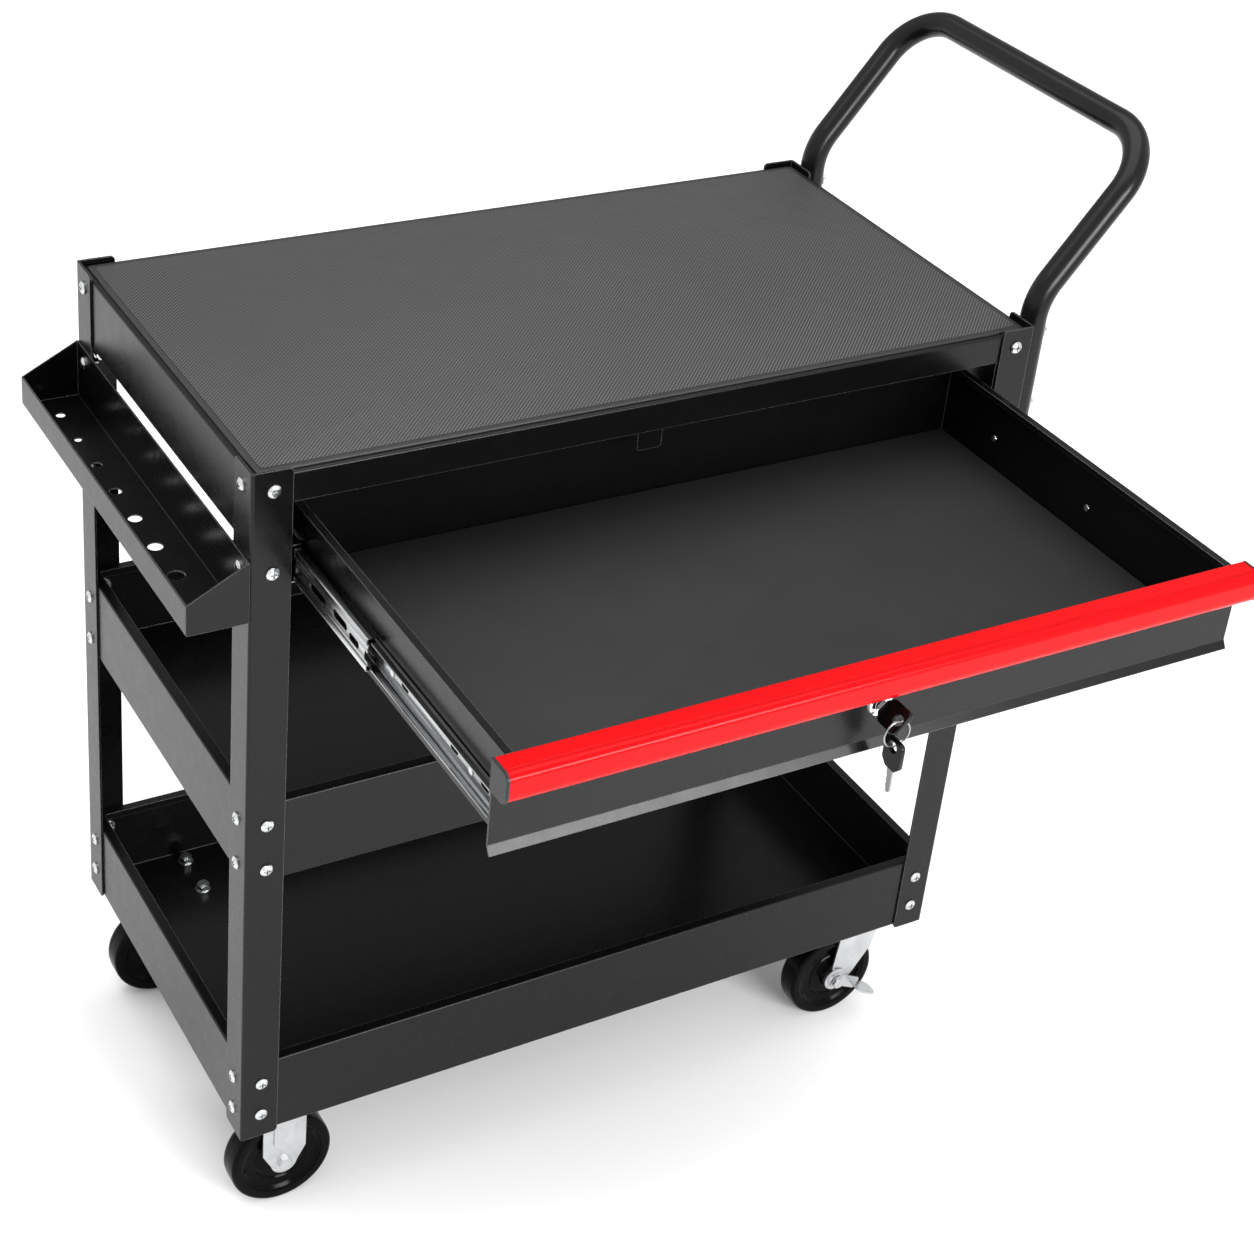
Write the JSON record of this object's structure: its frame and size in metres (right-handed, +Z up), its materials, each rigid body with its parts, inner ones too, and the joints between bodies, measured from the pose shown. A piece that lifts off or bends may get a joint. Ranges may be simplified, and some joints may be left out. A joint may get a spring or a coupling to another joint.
{
  "type": "rolling tool cart",
  "caption": "Bolted steel tool cart on casters: open trays, a lockable drawer under a matted top, an end tool rack and a tubular push handle.",
  "frame": {"origin": "on the floor, under the middle of the bolted frame of four legs", "axes": "+Z up, +X along the frame towards the push handle, -Y towards the side that the drawer opens on"},
  "size_m": [0.9505, 0.7831, 0.9895],
  "materials": {
    "black_powder_coat": "semi-gloss black powder coat on sheet steel",
    "black_work_mat": "matt dark grey mat with a fine diagonal weave",
    "black_drawer_liner": "matt black foam liner",
    "red_pull": "satin red",
    "dark_grey_plastic": "dark grey moulded plastic",
    "zinc_slides": "bright zinc plate",
    "bright_steel_balls": "polished bearing steel",
    "zinc_casters": "bright zinc plate on pressed steel",
    "zinc_fasteners": "bright zinc plate",
    "chrome_lock": "polished chrome",
    "lock_steel": "plain steel wire and strip",
    "key_black_plastic": "black moulded bow on a nickel-plated blade",
    "black_wheel_core": "black moulded core",
    "black_rubber_tyre": "hard black rubber"
  },
  "bodies": {
    "chassis": {"leg_front_left": "black_powder_coat", "leg_front_right": "black_powder_coat", "leg_rear_left": "black_powder_coat", "leg_rear_right": "black_powder_coat", "top_panel": "black_powder_coat", "top_mat": "black_work_mat", "middle_tray": "black_powder_coat", "bottom_tray": "black_powder_coat", "tool_rack": "black_powder_coat", "push_handle": "black_powder_coat", "push_handle_bolts": "zinc_fasteners", "push_handle_plugs": "dark_grey_plastic", "frame_screws": "zinc_fasteners", "frame_nuts": "zinc_fasteners", "lock_keeper": "black_powder_coat", "slide_bracket_left": "black_powder_coat", "slide_bracket_right": "black_powder_coat", "slide_outer_left": "zinc_slides", "slide_outer_right": "zinc_slides", "rigid_fork_front": "zinc_casters", "rigid_fork_rear": "zinc_casters", "rigid_axles": "zinc_casters", "swivel_plate_front": "zinc_casters", "swivel_plate_rear": "zinc_casters", "kingpins": "zinc_casters", "caster_bolts": "zinc_fasteners", "caster_nuts": "zinc_fasteners"},
    "drawer": {"drawer_box": "black_powder_coat", "drawer_front": "black_powder_coat", "drawer_pull": "red_pull", "pull_caps": "dark_grey_plastic", "drawer_liner": "black_drawer_liner", "drawer_rivets": "zinc_fasteners", "lock_housing": "chrome_lock", "lock_nut": "zinc_fasteners", "slide_inner_left": "zinc_slides", "slide_inner_right": "zinc_slides"},
    "slide_left": {"slide_middle_left": "zinc_slides", "slide_balls_left": "bright_steel_balls"},
    "slide_right": {"slide_middle_right": "zinc_slides", "slide_balls_right": "bright_steel_balls"},
    "lock_plug": {"lock_plug": "chrome_lock", "lock_cam": "lock_steel", "key": "key_black_plastic"},
    "key_ring": {"key_ring": "lock_steel"},
    "spare_key": {"spare_key": "key_black_plastic"},
    "wheel_front_left": {"wheel_hub_front_left": "black_wheel_core", "tyre_front_left": "black_rubber_tyre"},
    "wheel_front_right": {"wheel_hub_front_right": "black_wheel_core", "tyre_front_right": "black_rubber_tyre"},
    "swivel_front": {"swivel_fork_front": "zinc_casters", "swivel_axle_front": "zinc_casters"},
    "brake_front": {"brake_pedal_front": "zinc_casters"},
    "wheel_rear_left": {"wheel_hub_rear_left": "black_wheel_core", "tyre_rear_left": "black_rubber_tyre"},
    "wheel_rear_right": {"wheel_hub_rear_right": "black_wheel_core", "tyre_rear_right": "black_rubber_tyre"},
    "swivel_rear": {"swivel_fork_rear": "zinc_casters", "swivel_axle_rear": "zinc_casters"},
    "brake_rear": {"brake_pedal_rear": "zinc_casters"}
  },
  "joints": [
    {"name": "drawer_slide", "type": "slide", "parent": "chassis", "child": "drawer", "axis": [0, -1, 0], "range_m": [-0.336, 0.006]},
    {"name": "slide_left_travel", "type": "slide", "parent": "chassis", "child": "slide_left", "axis": [0, -1, 0], "range_m": [-0.168, 0.003]},
    {"name": "slide_right_travel", "type": "slide", "parent": "chassis", "child": "slide_right", "axis": [0, -1, 0], "range_m": [-0.168, 0.003]},
    {"name": "lock_turn", "type": "hinge", "parent": "drawer", "child": "lock_plug", "pos_m": [-0.014, -0.539, 0.731], "axis": [0, 1, 0], "range_deg": [-90, 0]},
    {"name": "ring_swing", "type": "hinge", "parent": "lock_plug", "child": "key_ring", "pos_m": [-0.014, -0.5658, 0.731], "axis": [0, 1, 0], "range_deg": [0, 90]},
    {"name": "spare_key_swing", "type": "hinge", "parent": "key_ring", "child": "spare_key", "pos_m": [-0.014, -0.5658, 0.708], "axis": [1, 0, 0], "range_deg": [-60, 25]},
    {"name": "swivel_turn_front", "type": "hinge", "parent": "chassis", "child": "swivel_front", "pos_m": [0.3255, -0.159, 0.12], "axis": [0, 0, 1], "continuous": true},
    {"name": "wheel_spin_front_left", "type": "hinge", "parent": "chassis", "child": "wheel_front_left", "pos_m": [-0.3255, -0.159, 0.05], "axis": [0, 1, 0], "continuous": true},
    {"name": "wheel_spin_front_right", "type": "hinge", "parent": "swivel_front", "child": "wheel_front_right", "pos_m": [0.301, -0.159, 0.05], "axis": [0, 1, 0], "continuous": true},
    {"name": "brake_press_front", "type": "hinge", "parent": "swivel_front", "child": "brake_front", "pos_m": [0.301, -0.159, 0.05], "axis": [0, 1, 0], "range_deg": [-18, 6]},
    {"name": "swivel_turn_rear", "type": "hinge", "parent": "chassis", "child": "swivel_rear", "pos_m": [0.3255, 0.159, 0.12], "axis": [0, 0, 1], "continuous": true},
    {"name": "wheel_spin_rear_left", "type": "hinge", "parent": "chassis", "child": "wheel_rear_left", "pos_m": [-0.3255, 0.159, 0.05], "axis": [0, 1, 0], "continuous": true},
    {"name": "wheel_spin_rear_right", "type": "hinge", "parent": "swivel_rear", "child": "wheel_rear_right", "pos_m": [0.301, 0.159, 0.05], "axis": [0, 1, 0], "continuous": true},
    {"name": "brake_press_rear", "type": "hinge", "parent": "swivel_rear", "child": "brake_rear", "pos_m": [0.301, 0.159, 0.05], "axis": [0, 1, 0], "range_deg": [-18, 6]}
  ],
  "couplings": [
    {"joint": "slide_left_travel", "follows": "drawer_slide", "ratio": 0.5},
    {"joint": "slide_right_travel", "follows": "drawer_slide", "ratio": 0.5}
  ]
}
